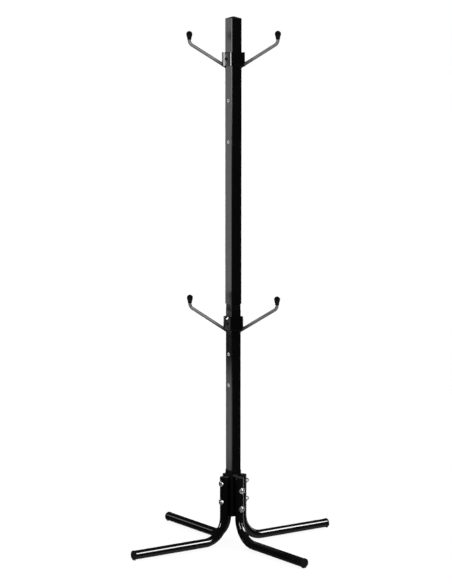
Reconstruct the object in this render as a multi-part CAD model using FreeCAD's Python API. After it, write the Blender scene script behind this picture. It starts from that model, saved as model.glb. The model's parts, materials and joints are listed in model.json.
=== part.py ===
"""Four-way clothing rack: a square two-piece post on four bent legs, with two sliding
collars that each carry a pair of bent arms.

Millimetres, +Z up. The origin is on the floor, on the post's axis. The legs point along
+X, +Y, -X and -Y, and the arms along the horizontal diagonal from -X+Y to +X-Y.
"""

import FreeCAD, Part
import math
import os

V = FreeCAD.Vector
X_AXIS = V(1, 0, 0)
Y_AXIS = V(0, 1, 0)
Z_AXIS = V(0, 0, 1)
ORIGIN = V(0, 0, 0)

# Clearances
FIT_GAP = 0.05          # parts pressed or screwed together
TUBE_GAP = 0.2          # one tube inside another
SLIDE_GAP = 0.3         # a part that slides on the post
BIG = 200.0             # larger than any local feature, for cutting

# Legs: round tube, bent up against the post
LEG_REACH = 407.0       # from the post's axis to the end of the foot cap
LEG_OUTER_R = 15.0
LEG_WALL = 1.5
LEG_AXIS_Z = 16.5
LEG_BEND_R = 80.0
LEG_TOP = 236.0
LEG_ANGLES = {"right": 0, "back": 90, "left": 180, "front": 270}

# Foot caps and leg plugs
FOOT_R = 16.0
FOOT_LENGTH = 6.0       # of the head, outside the tube
FOOT_END = 3.0          # thickness of the closed end
FOOT_ROUND = 2.8        # rounding of the closed end
FOOT_PAD_WIDTH = 14.0
FOOT_PAD_LENGTH = 4.0
FOOT_PAD_IN = 0.5       # the pad's inner edge, from the head's inner edge
PLUG_STEM = 12.0
PLUG_HEAD = 2.5

# Post: lower tube with a reduced neck that enters the upper tube
POST_CORNER = 3.2
POST_WALL = 2.0
LOWER_SIDE = 38.0
LOWER_BOTTOM = 102.5
SHOULDER_LOW = 806.0
SHOULDER_HIGH = 816.0
UPPER_SIDE = 41.0
UPPER_BOTTOM = 830.0
NECK_INSERTION = 80.0
UPPER_TOP = 1787.0
CAP_RIM = 1.0           # upright rim of the top cap
CAP_FLAT = 7.0          # side of the small flat on top of its pyramid
TOTAL_HEIGHT = 1794.5
STOP_THICKNESS = 3.0

# Socket round the foot of the post
SOCKET_WALL = 3.2
SOCKET_NECK_WALL = 1.4  # above the legs
SOCKET_BOTTOM = 99.5
SOCKET_SHOULDER = 234.0
SOCKET_TOP = 258.0

# Leg bolts: one pair of bolts along X and one along Y, staggered in height
BOLT_R = 4.0
BOLT_HOLE_R = 4.3
BOLT_HEIGHTS = {"x": (214.0, 150.5), "y": (192.0, 128.5)}
BOLT_TURN = {"x": 0, "y": 90}
BOLT_FLANGE_R = 8.8
BOLT_DOME_R = 7.0
BOLT_HEAD = 4.6
BOLT_FLANGE = 1.2
BOLT_SOCKET_AF = 5.0
BOLT_SOCKET_DEPTH = 2.6
WASHER_R = 10.5
WASHER_WEB = 0.8        # thickness of a saddle washer on the tube's crown
NUT_AF = 13.0
NUT_HEIGHT = 6.5
NUT_DOME_R = 6.0

# Collars
COLLAR_HEIGHT = 46.0
UPPER_COLLAR_EXTRA = 8.75   # from the post's face to the collar's face
LOWER_COLLAR_EXTRA = 6.75
COLLAR_CORNER = 6.0
COLLAR_EDGE = 1.0
SLEEVE_WALL = 2.5
LINER_INSET = 1.0
UPPER_COLLAR_Z = 1653.0
LOWER_COLLAR_Z = 764.0

# Threaded inserts down the -X face of the post, one at each collar setting
INSERT_COUNT = 3
UPPER_PITCH = 138.0
LOWER_PITCH = 106.0
INSERT_FLANGE_R = 5.5
INSERT_FLANGE = 0.5
INSERT_BODY_R = 4.45
INSERT_BORE_R = 3.0
INSERT_LENGTH = 12.0
CHANNEL_WIDTH = 13.0    # groove in the liner that passes over the inserts
CHANNEL_DEPTH = 1.0

# Lock screw through the middle of the collar's -X face
LOCK_HEAD_R = 5.8
LOCK_HEAD = 4.0
LOCK_SHANK_R = 2.95
LOCK_SLEEVE_HOLE_R = 3.3
LOCK_SOCKET_AF = 4.0
LOCK_SOCKET_DEPTH = 2.2

# Angle screw, set at 45 degrees in the collar's top rim on the -X side
ANGLE_HEAD_R = 5.5
ANGLE_HEAD = 1.5
ANGLE_SHANK_R = 2.5
ANGLE_SHANK = 2.6
ANGLE_SEAT_R = 6.2
ANGLE_IN = 1.5          # the head's centre, in from the collar's face
ANGLE_DOWN = 4.5        # the head's centre, down from the collar's rim

# Arms: round rod, rising from the collar's lower corners and turned up at the end
ARM_R = 5.5
ARM_ROOT = 28.0         # where the rod's line meets the level of the collar's lower rim
ARM_REACH = 150.0
ARM_RISE = 75.5         # the corner of the bend, above the collar's lower rim
ARM_BEND_R = 20.0
ARM_TOP = 108.0
ARM_ANGLES = {"left": 135, "right": -45}

# Arm tips
TIP_BOTTOM = 88.0
TIP_TOP = 117.0
TIP_MOUTH_R = 7.0
TIP_R = 10.5

nodes = {}


def add(name, shape):
    """Keep a finished sub-part under its node name."""
    nodes[name] = shape


def turned(shape, degrees):
    """A copy of the shape, turned about the post's axis."""
    copy = shape.copy()
    copy.rotate(ORIGIN, Z_AXIS, degrees)
    return copy


def square_wire(side, corner, z):
    """Closed outline of a square with round corners, centred on the post's axis."""
    half = side / 2
    flat = half - corner
    dip = corner * (1 - math.sqrt(0.5))
    edges = []
    for quarter in range(4):
        start = V(half, -flat, z)
        middle = V(half, flat, z)
        bend = V(half - dip, half - dip, z)
        end = V(flat, half, z)
        side_edge = Part.LineSegment(start, middle).toShape()
        corner_edge = Part.Arc(middle, bend, end).toShape()
        for edge in (side_edge, corner_edge):
            edge.rotate(ORIGIN, Z_AXIS, 90 * quarter)
            edges.append(edge)
    return Part.Wire(edges)


def square_bar(side, corner, low, high):
    """Upright square bar with round corners."""
    return Part.Face(square_wire(side, corner, low)).extrude(V(0, 0, high - low))


def square_tube(side, wall, corner, low, high):
    """Upright square tube with round corners."""
    bore = square_bar(side - 2 * wall, corner - wall, low, high)
    return square_bar(side, corner, low, high).cut(bore)


def cylinder(radius, start, direction, length):
    """Round bar from a start point along a direction."""
    return Part.makeCylinder(radius, length, start, direction)


def hex_bar(across_flats, start, direction, length):
    """Hexagonal bar from a start point along a direction."""
    radius = across_flats / math.sqrt(3)
    corners = [V(radius * math.cos(math.radians(60 * k)), radius * math.sin(math.radians(60 * k)), 0)
               for k in range(7)]
    bar = Part.Face(Part.makePolygon(corners)).extrude(V(0, 0, length))
    bar.Placement = FreeCAD.Placement(start, FreeCAD.Rotation(Z_AXIS, direction))
    return bar


def turned_profile(edges, start, direction):
    """Solid of revolution: the edges lie in XZ and turn about Z, then Z goes along a direction."""
    solid = Part.Face(Part.Wire(edges)).revolve(ORIGIN, Z_AXIS, 360)
    solid.Placement = FreeCAD.Placement(start, FreeCAD.Rotation(Z_AXIS, direction))
    return solid


def line(x0, z0, x1, z1):
    """Straight edge in the XZ plane."""
    return Part.LineSegment(V(x0, 0, z0), V(x1, 0, z1)).toShape()


def arc(x0, z0, xm, zm, x1, z1):
    """Arc in the XZ plane through three points."""
    return Part.Arc(V(x0, 0, z0), V(xm, 0, zm), V(x1, 0, z1)).toShape()


def bent_rod(first, corner, last, bend_radius, radius):
    """Round rod in the XZ plane: two straight runs joined by a tangent bend at their corner."""
    to_first = (first - corner).normalize()
    to_last = (last - corner).normalize()
    half_angle = to_first.getAngle(to_last) / 2
    tangent = bend_radius / math.tan(half_angle)
    centre = corner + (to_first + to_last).normalize() * (bend_radius / math.sin(half_angle))
    start = corner + to_first * tangent
    end = corner + to_last * tangent
    section = Part.Face(Part.Wire([Part.makeCircle(radius, start, to_first)]))
    turn_axis = (start - centre).cross(end - centre)
    turn = 180 - math.degrees(2 * half_angle)
    bend = section.revolve(centre, turn_axis, turn)
    first_run = cylinder(radius, first, start - first, (start - first).Length)
    last_run = cylinder(radius, end, last - end, (last - end).Length)
    return first_run.fuse([bend, last_run]).removeSplitter()


def dome_head(radius, height, rim):
    """Low domed head: a rim of some thickness under a shallow dome with a small flat on top."""
    middle = radius * 0.6
    flat = radius * 0.12
    return [line(0, 0, radius, 0),
            line(radius, 0, radius, rim),
            arc(radius, rim, middle, rim + (height - rim) * 0.78, flat, height),
            line(flat, height, 0, height),
            line(0, height, 0, 0)]


# ---------------------------------------------------------------- base

def socket_side():
    """Outer side of the square socket."""
    return LOWER_SIDE + 2 * (TUBE_GAP + SOCKET_WALL)


def leg_offset():
    """Distance from the post's axis to the axis of a leg's upright part."""
    return socket_side() / 2 + FIT_GAP + LEG_OUTER_R


def bolt_holes(radius, half_length, axes=("x", "y")):
    """Bars where the leg bolts pass, through the post's axis."""
    holes = []
    for axis in axes:
        for z in BOLT_HEIGHTS[axis]:
            bar = cylinder(radius, V(-half_length, 0, z), X_AXIS, 2 * half_length)
            holes.append(turned(bar, BOLT_TURN[axis]))
    return Part.makeCompound(holes)


def make_leg():
    """Leg along +X: level on the floor side, bent up against the socket."""
    tip = V(LEG_REACH - FOOT_END, 0, LEG_AXIS_Z)
    corner = V(leg_offset(), 0, LEG_AXIS_Z)
    top = V(leg_offset(), 0, LEG_TOP)
    outer = bent_rod(tip, corner, top, LEG_BEND_R, LEG_OUTER_R)
    inner = bent_rod(tip, corner, top, LEG_BEND_R, LEG_OUTER_R - LEG_WALL)
    return outer.cut(inner)


def make_foot_cap():
    """Plug in a leg's open end: a stem, a rounded head and a flat pad that stands on the floor."""
    start = V(LEG_REACH - FOOT_LENGTH, 0, LEG_AXIS_Z)
    head = cylinder(FOOT_R, start, X_AXIS, FOOT_LENGTH)
    end_edges = [e for e in head.Edges if abs(e.BoundBox.XMin - LEG_REACH) < 0.01 and len(e.Vertexes) == 1]
    head = head.makeFillet(FOOT_ROUND, end_edges)
    pad_start = start + V(FOOT_PAD_IN, -FOOT_PAD_WIDTH / 2, -LEG_AXIS_Z)
    pad = Part.makeBox(FOOT_PAD_LENGTH, FOOT_PAD_WIDTH, LEG_AXIS_Z / 2, pad_start)
    rim_room = cylinder(LEG_OUTER_R + FIT_GAP, start, X_AXIS, FOOT_LENGTH - FOOT_END)
    stem_r = LEG_OUTER_R - LEG_WALL - FIT_GAP
    stem = cylinder(stem_r, start - X_AXIS * PLUG_STEM, X_AXIS, PLUG_STEM + FOOT_LENGTH - FOOT_END)
    return head.fuse(pad).cut(rim_room).fuse(stem).removeSplitter()


def make_leg_plug():
    """Domed plug in the open top of a leg."""
    head = turned_profile(dome_head(LEG_OUTER_R, PLUG_HEAD, 1.0), V(leg_offset(), 0, LEG_TOP), Z_AXIS)
    stem_r = LEG_OUTER_R - LEG_WALL - FIT_GAP
    stem = cylinder(stem_r, V(leg_offset(), 0, LEG_TOP - PLUG_STEM), Z_AXIS, PLUG_STEM)
    return head.fuse(stem).removeSplitter()


def washer_plane():
    """Distance from the post's axis to the seat of a bolt head or nut."""
    return leg_offset() + LEG_OUTER_R + WASHER_WEB


def make_saddle_washer():
    """Washer on the +X side of a leg: flat outside, hollowed inside to sit on the tube."""
    start = V(leg_offset() + LEG_OUTER_R / 2, 0, 0)
    body = cylinder(WASHER_R, start, X_AXIS, washer_plane() - start.x)
    tube = cylinder(LEG_OUTER_R + FIT_GAP, V(leg_offset(), 0, -WASHER_R), Z_AXIS, 2 * WASHER_R)
    hole = cylinder(BOLT_HOLE_R, start, X_AXIS, WASHER_R)
    return body.cut(tube).cut(hole)


def make_leg_bolt():
    """Flanged button-head bolt along X at z 0, its head on the -X side."""
    seat = V(-washer_plane(), 0, 0)
    flange = cylinder(BOLT_FLANGE_R, seat, -X_AXIS, BOLT_FLANGE)
    dome_start = seat - X_AXIS * BOLT_FLANGE
    dome = turned_profile(dome_head(BOLT_DOME_R, BOLT_HEAD - BOLT_FLANGE, 0.8), dome_start, -X_AXIS)
    socket_start = seat - X_AXIS * (BOLT_HEAD - BOLT_SOCKET_DEPTH)
    socket = hex_bar(BOLT_SOCKET_AF, socket_start, -X_AXIS, BOLT_HEAD)
    shank = cylinder(BOLT_R, seat, X_AXIS, 2 * washer_plane() + NUT_HEIGHT)
    return flange.fuse([dome, shank]).cut(socket).removeSplitter()


def make_dome_nut():
    """Domed cap nut on the +X end of a leg bolt at z 0."""
    seat = V(washer_plane(), 0, 0)
    body = hex_bar(NUT_AF, seat, X_AXIS, NUT_HEIGHT)
    dome = Part.makeSphere(NUT_DOME_R, seat + X_AXIS * NUT_HEIGHT)
    bore = cylinder(BOLT_R + FIT_GAP, seat, X_AXIS, NUT_HEIGHT + 1)
    return body.fuse(dome).cut(bore).removeSplitter()


def build_base():
    """Socket, four legs with their caps and plugs, and the bolts that hold them."""
    side = socket_side()
    bore_corner = POST_CORNER + TUBE_GAP
    top_side = side - 2 * (SOCKET_WALL - SOCKET_NECK_WALL)
    body = square_tube(side, SOCKET_WALL, bore_corner + SOCKET_WALL, SOCKET_BOTTOM, SOCKET_SHOULDER)
    top = square_tube(top_side, SOCKET_NECK_WALL, bore_corner + SOCKET_NECK_WALL, SOCKET_SHOULDER, SOCKET_TOP)
    socket = body.fuse(top).removeSplitter()
    add("base_socket", socket.cut(bolt_holes(BOLT_HOLE_R, side)))

    leg = make_leg()
    foot_cap = make_foot_cap()
    plug = make_leg_plug()
    for name, angle in LEG_ANGLES.items():
        axis = "x" if angle % 180 == 0 else "y"
        holes = bolt_holes(BOLT_HOLE_R, leg_offset() + LEG_OUTER_R + 1, (axis,))
        add("leg_" + name, turned(leg, angle).cut(holes))
        add("foot_cap_" + name, turned(foot_cap, angle))
        add("leg_plug_" + name, turned(plug, angle))

    washer = make_saddle_washer()
    washers = []
    for axis, heights in BOLT_HEIGHTS.items():
        for level, z in zip(("upper", "lower"), heights):
            for name, part in (("leg_bolt", make_leg_bolt()), ("dome_nut", make_dome_nut())):
                part.translate(V(0, 0, z))
                add(f"{name}_{axis}_{level}", turned(part, BOLT_TURN[axis]))
            for half_turn in (0, 180):
                copy = turned(washer, BOLT_TURN[axis] + half_turn)
                copy.translate(V(0, 0, z))
                washers.append(copy)
    add("saddle_washers", Part.makeCompound(washers))


# ---------------------------------------------------------------- post

def neck_side():
    """Outer side of the reduced neck of the lower tube."""
    return UPPER_SIDE - 2 * POST_WALL - 2 * TUBE_GAP


def insert_places(side, top, pitch):
    """Points on the post's -X face where the threaded inserts sit."""
    return [V(-side / 2, 0, top - pitch * k) for k in range(INSERT_COUNT)]


def insert_holes(places):
    """Bars that drill the -X wall of the post for the inserts."""
    return Part.makeCompound([cylinder(INSERT_BODY_R + FIT_GAP, p - X_AXIS, X_AXIS, POST_WALL + 2)
                              for p in places])


def make_inserts(places):
    """Flanged threaded inserts; the bore is the plain size of the screw."""
    inserts = []
    for place in places:
        flange = cylinder(INSERT_FLANGE_R, place - X_AXIS * INSERT_FLANGE, X_AXIS, INSERT_FLANGE)
        body = cylinder(INSERT_BODY_R, place, X_AXIS, INSERT_LENGTH)
        bore = cylinder(INSERT_BORE_R, place - X_AXIS, X_AXIS, INSERT_LENGTH + 2)
        inserts.append(flange.fuse(body).cut(bore).removeSplitter())
    return Part.makeCompound(inserts)


def shouldered_bar(wall):
    """Lower tube's outline with its shoulder and neck, shrunk all round by a wall thickness."""
    neck_top = UPPER_BOTTOM + NECK_INSERTION
    corner = POST_CORNER - wall
    neck_corner = max(corner - 0.8, 0.7)
    straight = square_bar(LOWER_SIDE - 2 * wall, corner, LOWER_BOTTOM, SHOULDER_LOW)
    shoulder = Part.makeLoft([square_wire(LOWER_SIDE - 2 * wall, corner, SHOULDER_LOW),
                              square_wire(neck_side() - 2 * wall, neck_corner, SHOULDER_HIGH)], True, True)
    neck = square_bar(neck_side() - 2 * wall, neck_corner, SHOULDER_HIGH, neck_top)
    return straight.fuse([shoulder, neck]).removeSplitter()


def make_top_cap(stem_side, stem_corner):
    """Plug in the top of the post, with a low pyramid on it."""
    rim_top = UPPER_TOP + CAP_RIM
    rim = square_bar(UPPER_SIDE, POST_CORNER, UPPER_TOP, rim_top)
    pyramid = Part.makeLoft([square_wire(UPPER_SIDE, POST_CORNER, rim_top),
                             square_wire(CAP_FLAT, POST_CORNER, TOTAL_HEIGHT)], True, True)
    stem = square_bar(stem_side, stem_corner, UPPER_TOP - PLUG_STEM, UPPER_TOP)
    return rim.fuse([pyramid, stem]).removeSplitter()


def build_post():
    """Lower and upper tubes, their inserts, the stop between them and the plugs at both ends."""
    lower_places = insert_places(LOWER_SIDE, LOWER_COLLAR_Z, LOWER_PITCH)
    lower = shouldered_bar(0).cut(shouldered_bar(POST_WALL))
    lower = lower.cut(bolt_holes(BOLT_HOLE_R, LOWER_SIDE)).cut(insert_holes(lower_places))
    add("lower_post", lower)
    add("lower_post_inserts", make_inserts(lower_places))

    foot_head = square_bar(LOWER_SIDE, POST_CORNER, SOCKET_BOTTOM, LOWER_BOTTOM)
    foot_stem = square_bar(LOWER_SIDE - 2 * (POST_WALL + FIT_GAP), POST_CORNER - POST_WALL - FIT_GAP,
                           LOWER_BOTTOM, LOWER_BOTTOM + PLUG_STEM)
    add("post_foot_plug", foot_head.fuse(foot_stem).removeSplitter())

    upper_places = insert_places(UPPER_SIDE, UPPER_COLLAR_Z, UPPER_PITCH)
    upper = square_tube(UPPER_SIDE, POST_WALL, POST_CORNER, UPPER_BOTTOM, UPPER_TOP)
    add("upper_post", upper.cut(insert_holes(upper_places)))
    add("upper_post_inserts", make_inserts(upper_places))

    inner = UPPER_SIDE - 2 * (POST_WALL + FIT_GAP)
    inner_corner = POST_CORNER - POST_WALL - FIT_GAP
    stop_low = UPPER_BOTTOM + NECK_INSERTION
    add("post_stop", square_bar(inner, inner_corner, stop_low, stop_low + STOP_THICKNESS))

    add("top_cap", make_top_cap(inner, inner_corner))


# ---------------------------------------------------------------- collars

def make_arm(rim_z, radius):
    """Arm along +X, from inside the collar to the top of its upright end."""
    slope = ARM_RISE / (ARM_REACH - ARM_ROOT)
    first = V(ARM_ROOT / 2, 0, rim_z - slope * ARM_ROOT / 2)
    corner = V(ARM_REACH, 0, rim_z + ARM_RISE)
    last = V(ARM_REACH, 0, rim_z + ARM_TOP)
    return bent_rod(first, corner, last, ARM_BEND_R, radius)


def make_tip(rim_z):
    """Drop-shaped soft tip on the upright end of an arm along +X."""
    height = TIP_TOP - TIP_BOTTOM
    widest = height - TIP_R
    flank = Part.BSplineCurve()
    flank.interpolate([V(TIP_MOUTH_R, 0, 0), V(TIP_MOUTH_R + 0.7, 0, height * 0.25), V(TIP_R, 0, widest)],
                      InitialTangent=V(0, 0, 1), FinalTangent=V(0, 0, 1))
    profile = [line(0, 0, TIP_MOUTH_R, 0),
               flank.toShape(),
               arc(TIP_R, widest, TIP_R * math.sqrt(0.5), widest + TIP_R * math.sqrt(0.5), 0, height),
               line(0, height, 0, 0)]
    tip = turned_profile(profile, V(ARM_REACH, 0, rim_z + TIP_BOTTOM), Z_AXIS)
    bore_start = V(ARM_REACH, 0, rim_z + TIP_BOTTOM)
    bore = cylinder(ARM_R + FIT_GAP, bore_start, Z_AXIS, ARM_TOP - TIP_BOTTOM + 1)
    return tip.cut(bore)


def make_lock_screw(face, tip, z):
    """Domed screw from outside the collar's -X face towards the post, ending at the tip."""
    seat = V(-face, 0, z)
    head = turned_profile(dome_head(LOCK_HEAD_R, LOCK_HEAD, 1.6), seat, -X_AXIS)
    shank = cylinder(LOCK_SHANK_R, seat, X_AXIS, face - tip)
    socket_start = seat - X_AXIS * (LOCK_HEAD - LOCK_SOCKET_DEPTH)
    socket = hex_bar(LOCK_SOCKET_AF, socket_start, -X_AXIS, LOCK_HEAD)
    return head.fuse(shank).cut(socket).removeSplitter()


def build_collar(prefix, post_side, extra, centre_z):
    """Sleeve, liner, screws, arms and tips of one collar."""
    face = post_side / 2 + extra
    low = centre_z - COLLAR_HEIGHT / 2
    high = centre_z + COLLAR_HEIGHT / 2
    inward = V(1, 0, -1).normalize()

    outer = square_bar(2 * face, COLLAR_CORNER, low, high)
    rims = [e for e in outer.Edges if e.BoundBox.ZLength < 0.01]
    outer = outer.makeFillet(COLLAR_EDGE, rims)
    liner_side = 2 * (face - SLEEVE_WALL)
    liner_corner = COLLAR_CORNER - SLEEVE_WALL
    sleeve = outer.cut(square_bar(liner_side, liner_corner, low, high))

    liner = square_bar(liner_side, liner_corner, low + LINER_INSET, high - LINER_INSET)
    bore_side = post_side + 2 * SLIDE_GAP
    liner = liner.cut(square_bar(bore_side, POST_CORNER + SLIDE_GAP, low, high))
    channel = Part.makeBox(CHANNEL_DEPTH + 2, CHANNEL_WIDTH, COLLAR_HEIGHT,
                           V(-bore_side / 2 - CHANNEL_DEPTH, -CHANNEL_WIDTH / 2, low))
    liner = liner.cut(channel)

    # Arms first, because the sleeve and the liner are notched round their roots
    arm = make_arm(low, ARM_R)
    notch = make_arm(low, ARM_R + FIT_GAP)
    post_room = square_bar(post_side + 4 * SLIDE_GAP, POST_CORNER + 2 * SLIDE_GAP, low - BIG, high)
    tip = make_tip(low)
    for name, angle in ARM_ANGLES.items():
        add(f"{prefix}_arm_{name}", turned(arm, angle).cut(post_room))
        add(f"{prefix}_arm_tip_{name}", turned(tip, angle))
        sleeve = sleeve.cut(turned(notch, angle))
        liner = liner.cut(turned(notch, angle))

    # Angle screw in its seat
    head_centre = V(-face + ANGLE_IN, 0, high - ANGLE_DOWN)
    seat = head_centre + inward * ANGLE_HEAD
    seat_room = cylinder(ANGLE_SEAT_R, seat, -inward, BIG)
    screw_hole = cylinder(ANGLE_SHANK_R + FIT_GAP, seat, inward, ANGLE_SHANK + 1)
    angle_screw = cylinder(ANGLE_HEAD_R, seat, -inward, ANGLE_HEAD)
    angle_screw = angle_screw.fuse(cylinder(ANGLE_SHANK_R, seat, inward, ANGLE_SHANK)).removeSplitter()

    # Lock screw: clear hole in the sleeve, close hole in the liner
    lock_start = V(-face - 1, 0, centre_z)
    wide_hole = cylinder(LOCK_SLEEVE_HOLE_R, lock_start, X_AXIS, SLEEVE_WALL + 2)
    close_hole = cylinder(LOCK_SHANK_R + FIT_GAP, lock_start, X_AXIS, extra + 2)
    tip_distance = post_side / 2 + INSERT_FLANGE + SLIDE_GAP

    add(f"{prefix}_collar_sleeve", sleeve.cut(seat_room).cut(screw_hole).cut(wide_hole))
    add(f"{prefix}_collar_liner", liner.cut(seat_room).cut(screw_hole).cut(close_hole))
    add(f"{prefix}_angle_screw", angle_screw)
    add(f"{prefix}_lock_screw", make_lock_screw(face, tip_distance, centre_z))


build_base()
build_post()
build_collar("upper", UPPER_SIDE, UPPER_COLLAR_EXTRA, UPPER_COLLAR_Z)
build_collar("lower", LOWER_SIDE, LOWER_COLLAR_EXTRA, LOWER_COLLAR_Z)

os.makedirs("parts", exist_ok=True)
for node_name, node_shape in nodes.items():
    if not node_shape.isValid():
        raise ValueError(node_name + " is not a valid shape")
    node_shape.exportStep(f"parts/{node_name}.step")
    box = node_shape.optimalBoundingBox(False)
    print(f"{node_name}: {len(node_shape.Solids)} solid(s), {node_shape.Volume:.0f} mm3,"
          f" z {box.ZMin:.1f} to {box.ZMax:.1f}")
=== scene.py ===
import json
import math

import bmesh
import bpy
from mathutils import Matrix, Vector
from mathutils.bvhtree import BVHTree


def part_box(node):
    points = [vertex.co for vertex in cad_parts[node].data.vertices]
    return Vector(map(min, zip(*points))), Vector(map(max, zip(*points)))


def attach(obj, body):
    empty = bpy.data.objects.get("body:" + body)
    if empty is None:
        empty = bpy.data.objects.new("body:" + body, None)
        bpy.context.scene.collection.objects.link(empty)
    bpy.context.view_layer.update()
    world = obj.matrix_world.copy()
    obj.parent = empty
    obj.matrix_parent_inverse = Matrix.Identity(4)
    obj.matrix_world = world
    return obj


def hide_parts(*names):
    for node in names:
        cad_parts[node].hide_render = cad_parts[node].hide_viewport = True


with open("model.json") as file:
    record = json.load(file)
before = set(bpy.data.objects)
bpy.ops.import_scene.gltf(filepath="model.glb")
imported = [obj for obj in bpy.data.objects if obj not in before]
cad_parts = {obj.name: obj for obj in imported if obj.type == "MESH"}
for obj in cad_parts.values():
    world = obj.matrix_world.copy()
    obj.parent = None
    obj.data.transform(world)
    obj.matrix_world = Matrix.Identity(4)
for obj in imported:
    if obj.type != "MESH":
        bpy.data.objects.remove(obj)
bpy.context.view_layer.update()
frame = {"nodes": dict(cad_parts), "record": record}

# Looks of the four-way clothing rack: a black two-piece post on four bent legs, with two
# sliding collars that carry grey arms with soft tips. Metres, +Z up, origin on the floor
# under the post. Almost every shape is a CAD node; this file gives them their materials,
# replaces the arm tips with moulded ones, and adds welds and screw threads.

MM = 0.001

# Camera
CAMERA_AZIMUTH = -35.08     # degrees from the -Y side, round towards +X
CAMERA_DISTANCE = 6.575     # level distance from the post's axis
CAMERA_HEIGHT = 1.655
CAMERA_TILT = 6.81          # degrees down
CAMERA_YAW = 0.216          # degrees to the left of the post's axis
CAMERA_LENS = 120.5
CAMERA_REACH = 1000.0

# Colours, linear
GLOSS_BLACK = (0.0016, 0.0016, 0.0019)
SATIN_BLACK = (0.0020, 0.0021, 0.0021)
PLASTIC_BLACK = (0.012, 0.012, 0.012)
VINYL_BLACK = (0.004, 0.004, 0.004)
OXIDE_BLACK = (0.006, 0.006, 0.0065)
ARM_GREY = (0.34, 0.34, 0.34)
ZINC = (0.85, 0.85, 0.86)
FLOOR_WHITE = (0.92, 0.92, 0.92)
RUBBED_EDGE = (0.08, 0.08, 0.08)
WHITE_LIGHT = (1.0, 1.0, 1.0)
LILAC_LIGHT = (0.88, 0.85, 1.0)

# Studio: what the camera, soft shading and reflections each see of the white room
ROOM_WHITE = 1.0
ROOM_SOFT_LIGHT = 0.15
ROOM_GLEAM = 0.025
FLOOR_GLEAM = 0.30
FLOOR_WASH = 2.96           # shadowless light on the floor alone
FLOOR_RADIUS = 400.0
FLOOR_SIDES = 96

# Wear on edges, and painted shade in recesses
PROBE_SAMPLES = 6           # rays that look for edges and recesses
EDGE_RADIUS = 1.1 * MM
RECESS_SHADE_REACH = 3 * MM

# Painted shade on the arms: darkened to near black next to their collar, by distance from the post's
# axis
ROOT_SHADE_START = 0.036
ROOT_SHADE_END = 0.075
ROOT_SHADE_WAVER = 10 * MM
ROOT_SHADE_SHARE = 0.93

# Arm tips
LATHE_STEPS = 64
PARTING_RIDGE = 0.12 * MM
MOUTH_BEAD = 0.9 * MM
MOUTH_SHARE = 0.66          # radius at the mouth, as a share of the widest radius
BORE_SHARE = 0.54           # radius of the hole, likewise
TIP_NECK_STEPS = 8
TIP_TOP_STEPS = 10

# The lower tube narrows at its shoulder into the neck that slides in the upper one
SHOULDER_Z = 0.809
SHOULDER_FADE = 2 * MM
NECK_MATT = 0.15            # roughness that the neck's rubbed coat adds

# The collars' sleeves: half a width, and how far a flat face looks swollen at its middle
COLLAR_HALF = 24 * MM
COLLAR_BULGE = 1.2 * MM

# Welds where the arms leave the sleeves
WELD_RADIUS = 1.5 * MM
WELD_RIPPLES = 17
WELD_RIPPLE = 0.16              # a ripple's height, as a share of the radius
WELD_STEPS = 136
WELD_SIDES = 12
WELD_PROBES = (0.060, 0.095)    # reaches of two points on the straight run of an arm
WELD_REACH_BACK = 22 * MM       # from the nearer of them to beside the sleeve
WELD_STAND_OFF = 0.7 * MM       # from the arm's skin to the bead's line

# Screw threads in the open inserts
THREAD_PITCH = 1.0 * MM
THREAD_DEPTH = 0.45 * MM
THREAD_ROOT = 0.05 * MM         # how far the ridge's foot is sunk into the bore's wall
THREAD_HALF_WIDTH = 0.4         # of the ridge's foot, as a share of the pitch
THREAD_STEPS = 24
THREAD_FADE_STEPS = 8

COLLARS = ("upper", "lower")
COLLAR_PIECES = ("collar_sleeve", "collar_liner", "lock_screw")
SIDES = ("left", "right")


# ---------------------------------------------------------------- materials

class NodeTree:
    """Steps that add nodes to one node tree and join them up."""

    def __init__(self, tree):
        self.tree = tree

    def link(self, value, socket):
        """Connect an output to a socket, or set the socket to a plain value."""
        if isinstance(value, bpy.types.NodeSocket):
            self.tree.links.new(value, socket)
        elif isinstance(value, tuple) and socket.type == "RGBA":
            socket.default_value = (*value, 1.0)
        else:
            socket.default_value = value

    def spread(self, value, low, high, to_low, to_high):
        """Map a value from one range to another, held at the ends."""
        node = self.tree.nodes.new("ShaderNodeMapRange")
        self.link(value, node.inputs["Value"])
        ends = {"From Min": low, "From Max": high, "To Min": to_low, "To Max": to_high}
        for socket, number in ends.items():
            node.inputs[socket].default_value = number
        return node.outputs["Result"]

    def math(self, operation, *values):
        """One arithmetic step."""
        node = self.tree.nodes.new("ShaderNodeMath")
        node.operation = operation
        for value, socket in zip(values, node.inputs):
            self.link(value, socket)
        return node.outputs[0]


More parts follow.
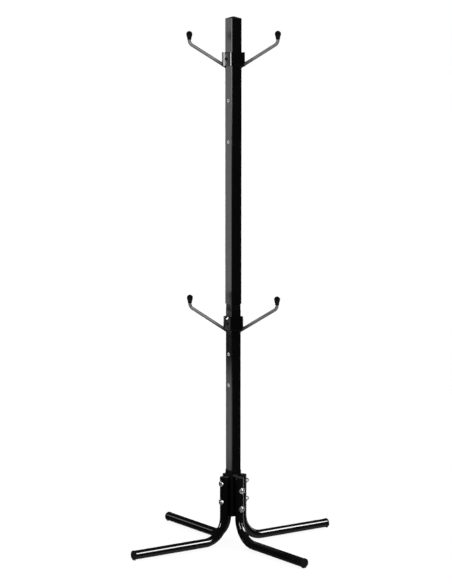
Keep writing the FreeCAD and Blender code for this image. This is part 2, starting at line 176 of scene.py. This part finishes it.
class Shader(NodeTree):
    """A Principled material and the procedural nodes that vary it over the surface."""

    def __init__(self, name, roughness, metallic=0.0, specular=0.5):
        self.material = bpy.data.materials.new(name)
        self.material.use_nodes = True
        super().__init__(self.material.node_tree)
        self.surface = self.tree.nodes["Principled BSDF"]
        self.surface.inputs["Roughness"].default_value = roughness
        self.surface.inputs["Metallic"].default_value = metallic
        self.surface.inputs["Specular IOR Level"].default_value = specular
        self.place = self.tree.nodes.new("ShaderNodeTexCoord").outputs["Object"]

    def noise(self, scale, detail=3.0, stretch=(1, 1, 1)):
        """Noise from 0 to 1, with scale in cycles per metre."""
        mapping = self.tree.nodes.new("ShaderNodeMapping")
        mapping.inputs["Scale"].default_value = stretch
        self.link(self.place, mapping.inputs["Vector"])
        noise = self.tree.nodes.new("ShaderNodeTexNoise")
        noise.inputs["Scale"].default_value = scale
        noise.inputs["Detail"].default_value = detail
        self.link(mapping.outputs["Vector"], noise.inputs["Vector"])
        return noise.outputs["Fac"]

    def mix(self, factor, a, b):
        """Colour between a and b."""
        node = self.tree.nodes.new("ShaderNodeMix")
        node.data_type = "RGBA"
        self.link(factor, node.inputs["Factor"])
        self.link(a, node.inputs["A"])
        self.link(b, node.inputs["B"])
        return node.outputs["Result"]

    def shade(self, value, low, high, dark, light):
        """Colour that goes from dark to light as a value goes from low to high."""
        return self.mix(self.spread(value, low, high, 0.0, 1.0), dark, light)

    def from_axis(self):
        """Distance from the post's axis."""
        flat = self.tree.nodes.new("ShaderNodeMapping")
        flat.inputs["Scale"].default_value = (1, 1, 0)
        self.link(self.place, flat.inputs["Vector"])
        length = self.tree.nodes.new("ShaderNodeVectorMath")
        length.operation = "LENGTH"
        self.link(flat.outputs["Vector"], length.inputs[0])
        return length.outputs["Value"]

    def height(self):
        """Height over the floor, at rest."""
        split = self.tree.nodes.new("ShaderNodeSeparateXYZ")
        self.link(self.place, split.inputs["Vector"])
        return split.outputs["Z"]

    def hollows(self, reach):
        """1 deep in corners and recesses, 0 on open faces."""
        occlusion = self.tree.nodes.new("ShaderNodeAmbientOcclusion")
        occlusion.samples = PROBE_SAMPLES
        occlusion.inputs["Distance"].default_value = reach
        return self.spread(occlusion.outputs["AO"], 0.35, 0.85, 1.0, 0.0)

    def edges(self, radius):
        """1 along sharp edges, 0 on flat faces."""
        bevel = self.tree.nodes.new("ShaderNodeBevel")
        bevel.samples = PROBE_SAMPLES
        bevel.inputs["Radius"].default_value = radius
        geometry = self.tree.nodes.new("ShaderNodeNewGeometry")
        dot = self.tree.nodes.new("ShaderNodeVectorMath")
        dot.operation = "DOT_PRODUCT"
        self.link(bevel.outputs["Normal"], dot.inputs[0])
        self.link(geometry.outputs["Normal"], dot.inputs[1])
        return self.spread(dot.outputs["Value"], 0.995, 0.88, 0.0, 1.0)

    def colour(self, value):
        self.link(value, self.surface.inputs["Base Color"])

    def roughness(self, value):
        self.link(value, self.surface.inputs["Roughness"])

    def bump(self, height, depth):
        """Relief of a depth in metres, on top of any relief that is there."""
        node = self.tree.nodes.new("ShaderNodeBump")
        node.inputs["Strength"].default_value = 1.0
        node.inputs["Distance"].default_value = depth
        self.link(height, node.inputs["Height"])
        before = self.surface.inputs["Normal"].links
        if before:
            self.link(before[0].from_socket, node.inputs["Normal"])
        self.link(node.outputs["Normal"], self.surface.inputs["Normal"])


def scaled(colour, share):
    """A colour made darker or lighter."""
    return tuple(part * share for part in colour)


def painted(name, colour, gloss, mottle, orange_peel, edge_wear, specular,
            matt_above=None, bulge=0.0):
    """Black paint or powder coat on steel: cloudy colour, orange peel, rubbed edges, fine dust.

    Above a given height the coat is rubbed matt, as on a neck that slides in a tube. A bulge is
    how far a collar's flat faces look swollen at their middles.
    """
    shader = Shader(name, gloss, specular=specular)
    cloud = shader.noise(9.0, 4.0)
    speck = shader.noise(420.0, 2.0)
    tone = shader.shade(cloud, 0.35, 0.65, scaled(colour, 0.8), scaled(colour, 1.35))
    dusty = shader.mix(shader.spread(speck, 0.66, 0.80, 0.0, 0.2), tone, scaled(colour, 4.0))
    patches = shader.spread(shader.noise(60.0), 0.42, 0.62, 0.0, edge_wear)
    rub = shader.math("MULTIPLY", shader.edges(EDGE_RADIUS), patches)
    shader.colour(shader.mix(rub, dusty, RUBBED_EDGE))
    haze = shader.spread(shader.noise(26.0, 5.0), 0.3, 0.7, gloss - mottle, gloss + mottle)
    if matt_above is not None:
        neck = shader.spread(shader.height(), matt_above, matt_above + SHOULDER_FADE, 0.0, 1.0)
        haze = shader.math("MULTIPLY_ADD", neck, NECK_MATT, haze)
    shader.roughness(haze)
    if bulge:
        reach = shader.math("MULTIPLY", shader.from_axis(), 1.0 / COLLAR_HALF)
        shader.bump(shader.math("MULTIPLY", reach, reach), -bulge)
    shader.bump(shader.noise(300.0, 2.0), orange_peel)
    return shader.material


def moulded(name, colour, roughness, grain_scale, grain_depth):
    """Moulded plastic or vinyl: fine grain, slight flow marks and scuffs."""
    shader = Shader(name, roughness)
    flow = shader.noise(45.0, 3.0, (1, 1, 0.4))
    scuff = shader.noise(160.0, 4.0, (1, 1, 0.25))
    tone = shader.shade(flow, 0.3, 0.7, scaled(colour, 0.8), scaled(colour, 1.3))
    shader.colour(shader.mix(shader.spread(scuff, 0.6, 0.75, 0.0, 0.35), tone, scaled(colour, 3.0)))
    shader.roughness(shader.spread(flow, 0.3, 0.7, roughness - 0.07, roughness + 0.07))
    shader.bump(shader.noise(grain_scale, 2.0), grain_depth)
    return shader.material


def satin_steel(name, colour, roughness):
    """Dull grey steel rod: fine scratches, cloudy tarnish, painted shade darkening it next to its
    collar.
    """
    shader = Shader(name, roughness, metallic=0.25)
    cloud = shader.noise(38.0, 4.0)
    scratch = shader.noise(240.0, 3.0, (1, 1, 3))
    tone = shader.shade(cloud, 0.3, 0.7, scaled(colour, 0.85), scaled(colour, 1.12))
    worn = shader.mix(shader.spread(scratch, 0.6, 0.75, 0.0, 0.25), tone, scaled(colour, 0.6))
    # painted shade: the rod darkens to near black towards its collar, in place of the post's shade and
    # reflection
    reach = shader.math("MULTIPLY_ADD", cloud, ROOT_SHADE_WAVER, shader.from_axis())
    root_shade = shader.spread(reach, ROOT_SHADE_START, ROOT_SHADE_END, ROOT_SHADE_SHARE, 0.0)
    shader.colour(shader.mix(root_shade, worn, OXIDE_BLACK))
    shader.roughness(shader.spread(cloud, 0.3, 0.7, roughness - 0.06, roughness + 0.06))
    shader.bump(scratch, 0.02 * MM)
    return shader.material


def zinc_plate(name, colour, roughness):
    """Bright zinc plate: crystal patches, spots of dirt, painted shade darkening the recesses."""
    shader = Shader(name, roughness, metallic=0.9)
    patches = shader.noise(700.0, 2.0)
    dirt = shader.noise(240.0, 4.0)
    tone = shader.shade(patches, 0.3, 0.7, scaled(colour, 0.72), colour)
    spotted = shader.mix(shader.spread(dirt, 0.58, 0.74, 0.0, 0.5), tone, scaled(colour, 0.3))
    # painted shade: recesses and crevices darkened to near black
    shader.colour(shader.mix(shader.hollows(RECESS_SHADE_REACH), spotted, scaled(colour, 0.03)))
    shader.roughness(shader.spread(patches, 0.3, 0.7, roughness - 0.08, roughness + 0.1))
    shader.bump(patches, 0.03 * MM)
    return shader.material


def weld_metal(name, colour):
    """Painted-over weld bead."""
    shader = Shader(name, 0.42)
    grain = shader.noise(900.0, 3.0)
    shader.colour(shader.mix(grain, scaled(colour, 0.5), colour))
    shader.roughness(shader.spread(grain, 0.3, 0.7, 0.34, 0.52))
    shader.bump(grain, 0.06 * MM)
    return shader.material


def make_materials():
    """One material for each of the record's slots, and for the welds, collars and lower tube."""
    return {
        "leg_black": painted("gloss_black_paint", GLOSS_BLACK, 0.10, 0.02, 0.004 * MM, 0.2, 0.5),
        "post_black": painted("satin_black_coat", SATIN_BLACK, 0.20, 0.02, 0.008 * MM, 0.45, 0.4),
        "arm_steel": satin_steel("dull_grey_steel", ARM_GREY, 0.42),
        "zinc_hardware": zinc_plate("bright_zinc_plate", ZINC, 0.22),
        "cap_plastic": moulded("matte_black_plastic", PLASTIC_BLACK, 0.50, 1500.0, 0.02 * MM),
        "tip_rubber": moulded("soft_black_vinyl", VINYL_BLACK, 0.40, 900.0, 0.015 * MM),
        "screw_black": painted("black_oxide", OXIDE_BLACK, 0.28, 0.05, 0.004 * MM, 0.6, 0.5),
        "weld": weld_metal("painted_weld", OXIDE_BLACK),
        "collar": painted("satin_black_collar", SATIN_BLACK, 0.14, 0.02, 0.008 * MM, 0.45, 0.4,
                          bulge=COLLAR_BULGE),
        "neck": painted("satin_black_coat_with_neck", SATIN_BLACK, 0.20, 0.02, 0.008 * MM, 0.45, 0.4,
                        matt_above=SHOULDER_Z),
    }


def dress(piece, material):
    """Give a piece one material all over."""
    piece.data.materials.clear()
    piece.data.materials.append(material)


# ---------------------------------------------------------------- shapes

def new_piece(name, mesh_builder, material, smooth=True):
    """An object from a bmesh that is filled in place, in the frame's own coordinates."""
    mesh = bpy.data.meshes.new(name)
    shape = bmesh.new()
    mesh_builder(shape)
    bmesh.ops.recalc_face_normals(shape, faces=shape.faces)
    shape.to_mesh(mesh)
    shape.free()
    for face in mesh.polygons:
        face.use_smooth = smooth
    piece = bpy.data.objects.new(name, mesh)
    bpy.context.scene.collection.objects.link(piece)
    dress(piece, material)
    return piece


def skin(shape, loops, ring=False):
    """Faces between neighbouring loops of points, capped at both ends or joined into a ring."""
    sides = len(loops[0])
    following = loops[1:] + loops[:1] if ring else loops[1:]
    for one, other in zip(loops, following):
        for k in range(sides):
            after = (k + 1) % sides
            shape.faces.new((one[k], one[after], other[after], other[k]))
    if not ring:
        shape.faces.new(loops[0])
        shape.faces.new(reversed(loops[-1]))


def lathe(shape, rings, place):
    """Closed skin round an axis: each ring is (along, radius)."""
    loops = []
    for along, radius in rings:
        points = [place(along, radius, 2 * math.pi * k / LATHE_STEPS) for k in range(LATHE_STEPS)]
        loops.append([shape.verts.new(point) for point in points])
    skin(shape, loops)


def ridged(radius, angle):
    """Radius with a fine parting ridge on two opposite sides."""
    return radius + PARTING_RIDGE * max(0.0, abs(math.cos(angle)) - 0.99) / 0.01


def curve_rings(start, end, bulge, steps):
    """Rings between two (along, radius) ends, swelling by a bulge halfway."""
    rings = []
    for k in range(steps + 1):
        share = k / steps
        along = start[0] + (end[0] - start[0]) * share
        radius = start[1] + (end[1] - start[1]) * share + bulge * math.sin(math.pi * share)
        rings.append((along, radius))
    return rings


def round_end(along, radius, reach, steps):
    """Rings of a rounded end that closes from a radius over a reach."""
    rings = []
    for k in range(1, steps):
        turn = math.pi / 2 * k / steps
        rings.append((along + reach * math.sin(turn), radius * math.cos(turn)))
    return rings


def add_arm_tip(collar, side, material):
    """Drop-shaped vinyl tip with a beaded mouth, a parting ridge and a gate mark on top."""
    node = f"{collar}_arm_tip_{side}"
    low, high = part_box(node)
    centre_x = (low[0] + high[0]) / 2
    centre_y = (low[1] + high[1]) / 2
    height = high[2] - low[2]
    widest = (high[0] - low[0]) / 2
    mouth = widest * MOUTH_SHARE
    bore = widest * BORE_SHARE
    bead_top = MOUTH_BEAD * 2
    neck_top = height - widest

    def place(along, radius, angle):
        radius = ridged(radius, angle)
        return (centre_x + radius * math.cos(angle),
                centre_y + radius * math.sin(angle),
                low[2] + along)

    # Down the bore, round the beaded mouth, up the neck, over the top and into the gate mark
    rings = [(height * 0.55, bore * 0.98), (height * 0.5, bore)]
    rings += [(MOUTH_BEAD * 0.4, bore), (0.0, bore + 0.3 * MM)]
    rings += curve_rings((0.0, mouth - 0.2 * MM), (bead_top, mouth), MOUTH_BEAD * 0.6, 6)
    for k in range(1, TIP_NECK_STEPS + 1):
        share = k / TIP_NECK_STEPS
        ease = share * share * (3 - 2 * share)
        rings.append((bead_top + (neck_top - bead_top) * share,
                      mouth + (widest - PARTING_RIDGE - mouth) * ease))
    rings += round_end(neck_top, widest - PARTING_RIDGE, widest - 0.3 * MM, TIP_TOP_STEPS)
    rings += [(height - 0.35 * MM, widest * 0.16), (height - 0.05 * MM, widest * 0.13)]
    rings.append((height, widest * 0.05))
    tip = new_piece(f"{collar}_vinyl_tip_{side}", lambda shape: lathe(shape, rings, place), material)
    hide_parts(node)
    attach(tip, f"{collar}_collar")


def bead_ring(shape, sections):
    """Closed bead: each section is (centre, one cross direction, the other, radius)."""
    loops = []
    for centre, one, other, radius in sections:
        loop = []
        for k in range(WELD_SIDES):
            turn = 2 * math.pi * k / WELD_SIDES
            point = centre + one * radius * math.cos(turn) + other * radius * math.sin(turn)
            loop.append(shape.verts.new(point))
        loops.append(loop)
    skin(shape, loops, ring=True)


def node_tree(node):
    """Ray-casting tree of a CAD node's own mesh."""
    mesh = frame["nodes"][node].data
    points = [vertex.co for vertex in mesh.vertices]
    return BVHTree.FromPolygons(points, [tuple(face.vertices) for face in mesh.polygons])


def add_arm_weld(collar, side, material):
    """Rippled weld bead where a collar's arm comes out of its sleeve."""
    tip_low, tip_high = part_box(f"{collar}_arm_tip_{side}")
    outward = Vector((tip_low[0] + tip_high[0], tip_low[1] + tip_high[1], 0)).normalized()
    arm = node_tree(f"{collar}_arm_{side}")
    axis_points = []
    for reach in WELD_PROBES:
        above = outward * reach + Vector((0, 0, tip_high[2]))
        below = outward * reach
        top = arm.ray_cast(above, Vector((0, 0, -1)))[0]
        bottom = arm.ray_cast(below, Vector((0, 0, 1)))[0]
        axis_points.append((top + bottom) / 2)
    run = (axis_points[1] - axis_points[0]).normalized()
    radius = (top.z - bottom.z) / 2 * run.dot(outward)
    cross_one = run.cross(Vector((0, 0, 1))).normalized()
    cross_two = run.cross(cross_one)

    sleeve = node_tree(f"{collar}_collar_sleeve")
    sections = []
    for k in range(WELD_STEPS):
        turn = 2 * math.pi * k / WELD_STEPS
        offset = cross_one * math.cos(turn) + cross_two * math.sin(turn)
        start = axis_points[0] + offset * (radius + WELD_STAND_OFF)
        hit = sleeve.ray_cast(start, -run)[0]
        if hit is None:
            beside = axis_points[0] + offset * radius - run * WELD_REACH_BACK
            hit = sleeve.find_nearest(beside)[0]
        thickness = WELD_RADIUS * (1 + WELD_RIPPLE * math.sin(WELD_RIPPLES * turn))
        sections.append((hit, offset, run, thickness))
    bead = new_piece(f"{collar}_arm_weld_{side}", lambda shape: bead_ring(shape, sections), material)
    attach(bead, f"{collar}_collar")


def add_thread(name, place, length, bore_radius, body, material):
    """Female screw thread inside a threaded insert whose axis is X."""
    turns = length / THREAD_PITCH - 1
    steps = int(turns * THREAD_STEPS)
    root = bore_radius + THREAD_ROOT

    def ridge(shape):
        loops = []
        for k in range(steps + 1):
            turn = 2 * math.pi * k / THREAD_STEPS
            along = place.x - length / 2 + THREAD_PITCH * (0.5 + turn / (2 * math.pi))
            fade = min(1.0, k / THREAD_FADE_STEPS, (steps - k) / THREAD_FADE_STEPS)
            crest = bore_radius - THREAD_DEPTH * fade
            loop = []
            for radius, shift in ((root, -THREAD_HALF_WIDTH), (root, THREAD_HALF_WIDTH), (crest, 0.0)):
                point = (along + shift * THREAD_PITCH,
                         place.y + radius * math.cos(turn),
                         place.z + radius * math.sin(turn))
                loop.append(shape.verts.new(point))
            loops.append(loop)
        skin(shape, loops)

    thread = new_piece(name, ridge, material, smooth=False)
    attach(thread, body)


# ---------------------------------------------------------------- stage

def add_floor():
    """Plain pale floor, far larger than the rack, with a light of its own that casts no shadows."""
    shader = Shader("floor_paper", 0.9, specular=0.0)
    shader.colour(shader.mix(shader.noise(0.8), scaled(FLOOR_WHITE, 0.995), FLOOR_WHITE))

    def disc(shape):
        bmesh.ops.create_circle(shape, cap_ends=True, segments=FLOOR_SIDES, radius=FLOOR_RADIUS)

    floor = new_piece("floor", disc, shader.material)
    floor.visible_glossy = False
    floor.visible_diffuse = False
    wash = bpy.data.objects.new("floor_wash", bpy.data.lights.new("floor_wash", "SUN"))
    wash.data.energy = FLOOR_WASH
    bpy.context.scene.collection.objects.link(wash)
    only_floor = bpy.data.collections.new("floor_only")
    only_floor.objects.link(floor)
    wash.light_linking.receiver_collection = only_floor
    wash.light_linking.blocker_collection = only_floor


def add_world():
    """White to the camera but dim to reflections, as in a dark studio, and brightest low in front."""
    world = bpy.data.worlds.new("studio")
    world.use_nodes = True
    tree = world.node_tree
    tree.nodes.clear()
    steps = NodeTree(tree)

    def backdrop(strength):
        node = tree.nodes.new("ShaderNodeBackground")
        steps.link(WHITE_LIGHT, node.inputs["Color"])
        steps.link(strength, node.inputs["Strength"])
        return node.outputs["Background"]

    coords = tree.nodes.new("ShaderNodeTexCoord")
    split = tree.nodes.new("ShaderNodeSeparateXYZ")
    tree.links.new(coords.outputs["Generated"], split.inputs["Vector"])
    floor_share = steps.spread(split.outputs["Z"], -0.60, -0.25, FLOOR_GLEAM, 0.0)
    front_share = steps.spread(split.outputs["Y"], -0.2, 0.4, 1.0, 0.15)
    gleam = steps.math("MULTIPLY_ADD", floor_share, front_share, ROOM_GLEAM)

    path = tree.nodes.new("ShaderNodeLightPath")
    seen = backdrop(ROOM_WHITE)
    for share, strength in (("Is Diffuse Ray", ROOM_SOFT_LIGHT), ("Is Glossy Ray", gleam)):
        mix = tree.nodes.new("ShaderNodeMixShader")
        tree.links.new(path.outputs[share], mix.inputs["Fac"])
        tree.links.new(seen, mix.inputs[1])
        tree.links.new(backdrop(strength), mix.inputs[2])
        seen = mix.outputs["Shader"]
    output = tree.nodes.new("ShaderNodeOutputWorld")
    tree.links.new(seen, output.inputs["Surface"])
    bpy.context.scene.world = world


def softbox(name, place, aim, size, radiance, receivers, colour=WHITE_LIGHT, blockers=()):
    """Rectangular area light of a (width, height) that faces a point and lights only its receivers.

    Everything shades it, unless blockers are given.
    """
    data = bpy.data.lights.new(name, "AREA")
    data.shape = "RECTANGLE"
    data.size, data.size_y = size
    data.energy = radiance * math.pi * data.size * data.size_y
    data.color = colour
    light = bpy.data.objects.new(name, data)
    light.location = place
    light.rotation_mode = "QUATERNION"
    light.rotation_quaternion = (Vector(place) - Vector(aim)).to_track_quat("Z", "Y")
    light.visible_camera = False
    bpy.context.scene.collection.objects.link(light)
    group = bpy.data.collections.new(name + "_receivers")
    for piece in receivers:
        group.objects.link(piece)
    light.light_linking.receiver_collection = group
    if blockers:
        shades = bpy.data.collections.new(name + "_blockers")
        for piece in blockers:
            shades.objects.link(piece)
        light.light_linking.blocker_collection = shades


def around(azimuth, distance, height):
    """A point at an azimuth from +Y round towards -X, at a distance from the post's axis."""
    angle = math.radians(azimuth)
    return (-math.sin(angle) * distance, math.cos(angle) * distance, height)


def add_lights(groups):
    """Softboxes round the rack, each for the pieces named in it."""
    post = groups["post"]
    lower_post = groups["lower_post"]
    upper_collar = groups["upper_collar"]
    upper_sleeve = groups["upper_sleeve"]
    lower_collar = groups["lower_collar"]
    lower_sleeve = groups["lower_sleeve"]
    legs = groups["legs"]
    front_leg = groups["front_leg"]
    hardware = groups["hardware"]
    softbox("post_fill", around(35, 3.0, 1.25), (0, 0, 1.25), (1.3, 1.85), 1.85, post)
    softbox("post_fill_low", around(35, 1.2, 0.21), (0, 0, 0.21), (0.35, 0.42), 1.5, lower_post)
    softbox("upper_collar_fill", around(35, 1.2, 1.65), (0, 0, 1.65), (0.6, 0.5), 0.7, upper_collar)
    softbox("upper_collar_line", around(30, 1.2, 1.65), (0, 0, 1.65), (0.06, 0.5), 14.0, upper_sleeve,
            blockers=upper_sleeve + post)
    softbox("lower_collar_fill", around(35, 1.2, 0.60), (0, 0, 0.60), (0.6, 0.5), 0.5, lower_collar)
    softbox("lower_collar_line", around(22, 1.2, 0.60), (0, 0, 0.60), (0.08, 0.5), 6.0, lower_sleeve,
            blockers=lower_sleeve + lower_post)
    softbox("corner_left", around(85, 2.0, 1.90), (0, 0, 1.7), (2.2, 1.0), 8.0, post)
    softbox("corner_front", around(130, 2.0, 1.90), (0, 0, 1.7), (1.6, 1.0), 3.0, post)
    softbox("collar_corner", around(88, 2.0, 1.75), (0, 0, 1.65), (2.0, 0.8), 20.0, upper_sleeve)
    softbox("corner_low", around(110, 0.6, 0.31), (0, 0, 0.35), (0.6, 0.32), 2.5, lower_post)
    softbox("neck_fill", around(35, 1.2, 0.67), (0, 0, 0.67), (0.5, 0.06), 4.0, lower_post)
    softbox("leg_streak", (1.38, -1.50, 1.63), (0, 0, 0), (1.4, 0.85), 26.0, legs)
    softbox("bend_left", around(64, 1.5, 0.62), (0, 0, 0.08), (0.26, 0.50), 30.0, groups["left_leg"])
    softbox("bend_front", around(131, 1.5, 0.55), (0, 0, 0.08), (0.24, 0.70), 20.0, front_leg)
    softbox("bend_front_right", around(200, 1.5, 0.60), (0, 0, 0.08), (0.20, 0.55), 14.0, front_leg)
    softbox("upright_strip", around(-90, 0.8, 0.15), (0, 0, 0.15), (0.12, 0.5), 4.0, legs)
    softbox("back_leg_tint", (-1.46, 2.4, 1.02), (0, 0, 0), (0.9, 0.6), 2.0, groups["back_leg"],
            colour=LILAC_LIGHT)
    softbox("arm_front", around(145, 4.0, 3.0), (0, 0, 1.2), (2.5, 1.8), 5.5, groups["arms"])
    softbox("hardware_key", (0.9, -1.6, 1.2), (0, 0, 0.2), (0.4, 0.4), 30.0, hardware)
    softbox("hardware_left", (-1.7, -0.9, 0.9), (0, 0, 0.2), (0.4, 0.4), 20.0, hardware)
    softbox("hardware_low_right", (0.75, -1.15, 0.10), (0, 0, 0.18), (0.30, 0.16), 7.0, hardware)
    softbox("hardware_low_left", around(35, 1.3, 0.10), (0, 0, 0.18), (0.30, 0.16), 6.0, hardware)
    softbox("insert_glint", around(35, 3.0, 1.0), (0, 0, 1.0), (1.3, 2.2), 1.1, groups["inserts"])
    softbox("lock_screw_fill", around(35, 3.0, 1.2), (0, 0, 1.2), (1.3, 1.8), 5.0,
            groups["lock_screws"])
    softbox("screw_glint", (-0.30, 1.62, 1.92), (0, 0, 0.78), (0.7, 0.7), 2.6,
            groups["lower_angle_screw"])


def add_camera():
    """Camera at standing height, to the left of the -Y side."""
    data = bpy.data.cameras.new("camera")
    data.lens = CAMERA_LENS
    data.clip_end = CAMERA_REACH
    camera = bpy.data.objects.new("camera", data)
    azimuth = math.radians(CAMERA_AZIMUTH)
    camera.location = (math.sin(azimuth) * CAMERA_DISTANCE,
                       -math.cos(azimuth) * CAMERA_DISTANCE,
                       CAMERA_HEIGHT)
    heading = -azimuth - math.radians(CAMERA_YAW)
    tilt = math.radians(CAMERA_TILT)
    view = Vector((math.sin(heading) * math.cos(tilt),
                   math.cos(heading) * math.cos(tilt),
                   -math.sin(tilt)))
    camera.rotation_mode = "QUATERNION"
    camera.rotation_quaternion = view.to_track_quat("-Z", "Y")
    bpy.context.scene.collection.objects.link(camera)
    bpy.context.scene.camera = camera


# ---------------------------------------------------------------- the rack

materials = make_materials()
nodes = frame["nodes"]
for part in frame["record"]["subparts"]:
    dress(nodes[part["node"]], materials[part["material_slot"]])

dress(nodes["lower_post"], materials["neck"])
for collar_name in COLLARS:
    dress(nodes[f"{collar_name}_collar_sleeve"], materials["collar"])

for collar_name in COLLARS:
    for side_name in SIDES:
        add_arm_tip(collar_name, side_name, materials["tip_rubber"])
        add_arm_weld(collar_name, side_name, materials["weld"])
for mount in frame["record"]["mounts"]:
    if mount["kind"] == "threaded_hole":
        hole = mount["dims"]
        rider = "upper_post" if mount["name"].startswith("upper") else "base"
        add_thread("thread_" + mount["name"], Vector(mount["pos_m"]), hole["length_mm"] * MM,
                   hole["r_mm"] * MM, rider, materials["zinc_hardware"])

# This arm's mirror image would break the long highlight on the collar
nodes["upper_arm_left"].visible_glossy = False

add_floor()
add_world()
add_lights({
    "post": [nodes[name] for name in ("upper_post", "base_socket", "top_cap")],
    "lower_post": [nodes["lower_post"]],
    "inserts": [nodes["upper_post_inserts"], nodes["lower_post_inserts"]],
    "upper_collar": [nodes[f"upper_{piece}"] for piece in COLLAR_PIECES],
    "lower_collar": [nodes[f"lower_{piece}"] for piece in COLLAR_PIECES],
    "upper_sleeve": [nodes["upper_collar_sleeve"]],
    "lower_sleeve": [nodes["lower_collar_sleeve"]],
    "lock_screws": [nodes["upper_lock_screw"], nodes["lower_lock_screw"]],
    "lower_angle_screw": [nodes["lower_angle_screw"]],
    "legs": [nodes[name] for name in nodes if name.startswith("leg_") and "bolt" not in name],
    "left_leg": [nodes["leg_left"]],
    "front_leg": [nodes["leg_front"]],
    "back_leg": [nodes["leg_back"]],
    "arms": [nodes[f"{collar}_arm_{side}"] for collar in COLLARS for side in SIDES],
    "hardware": [nodes[part["node"]] for part in frame["record"]["subparts"]
                 if part["material_slot"] == "zinc_hardware"],
})
add_camera()
bpy.context.scene.view_settings.view_transform = "Standard"
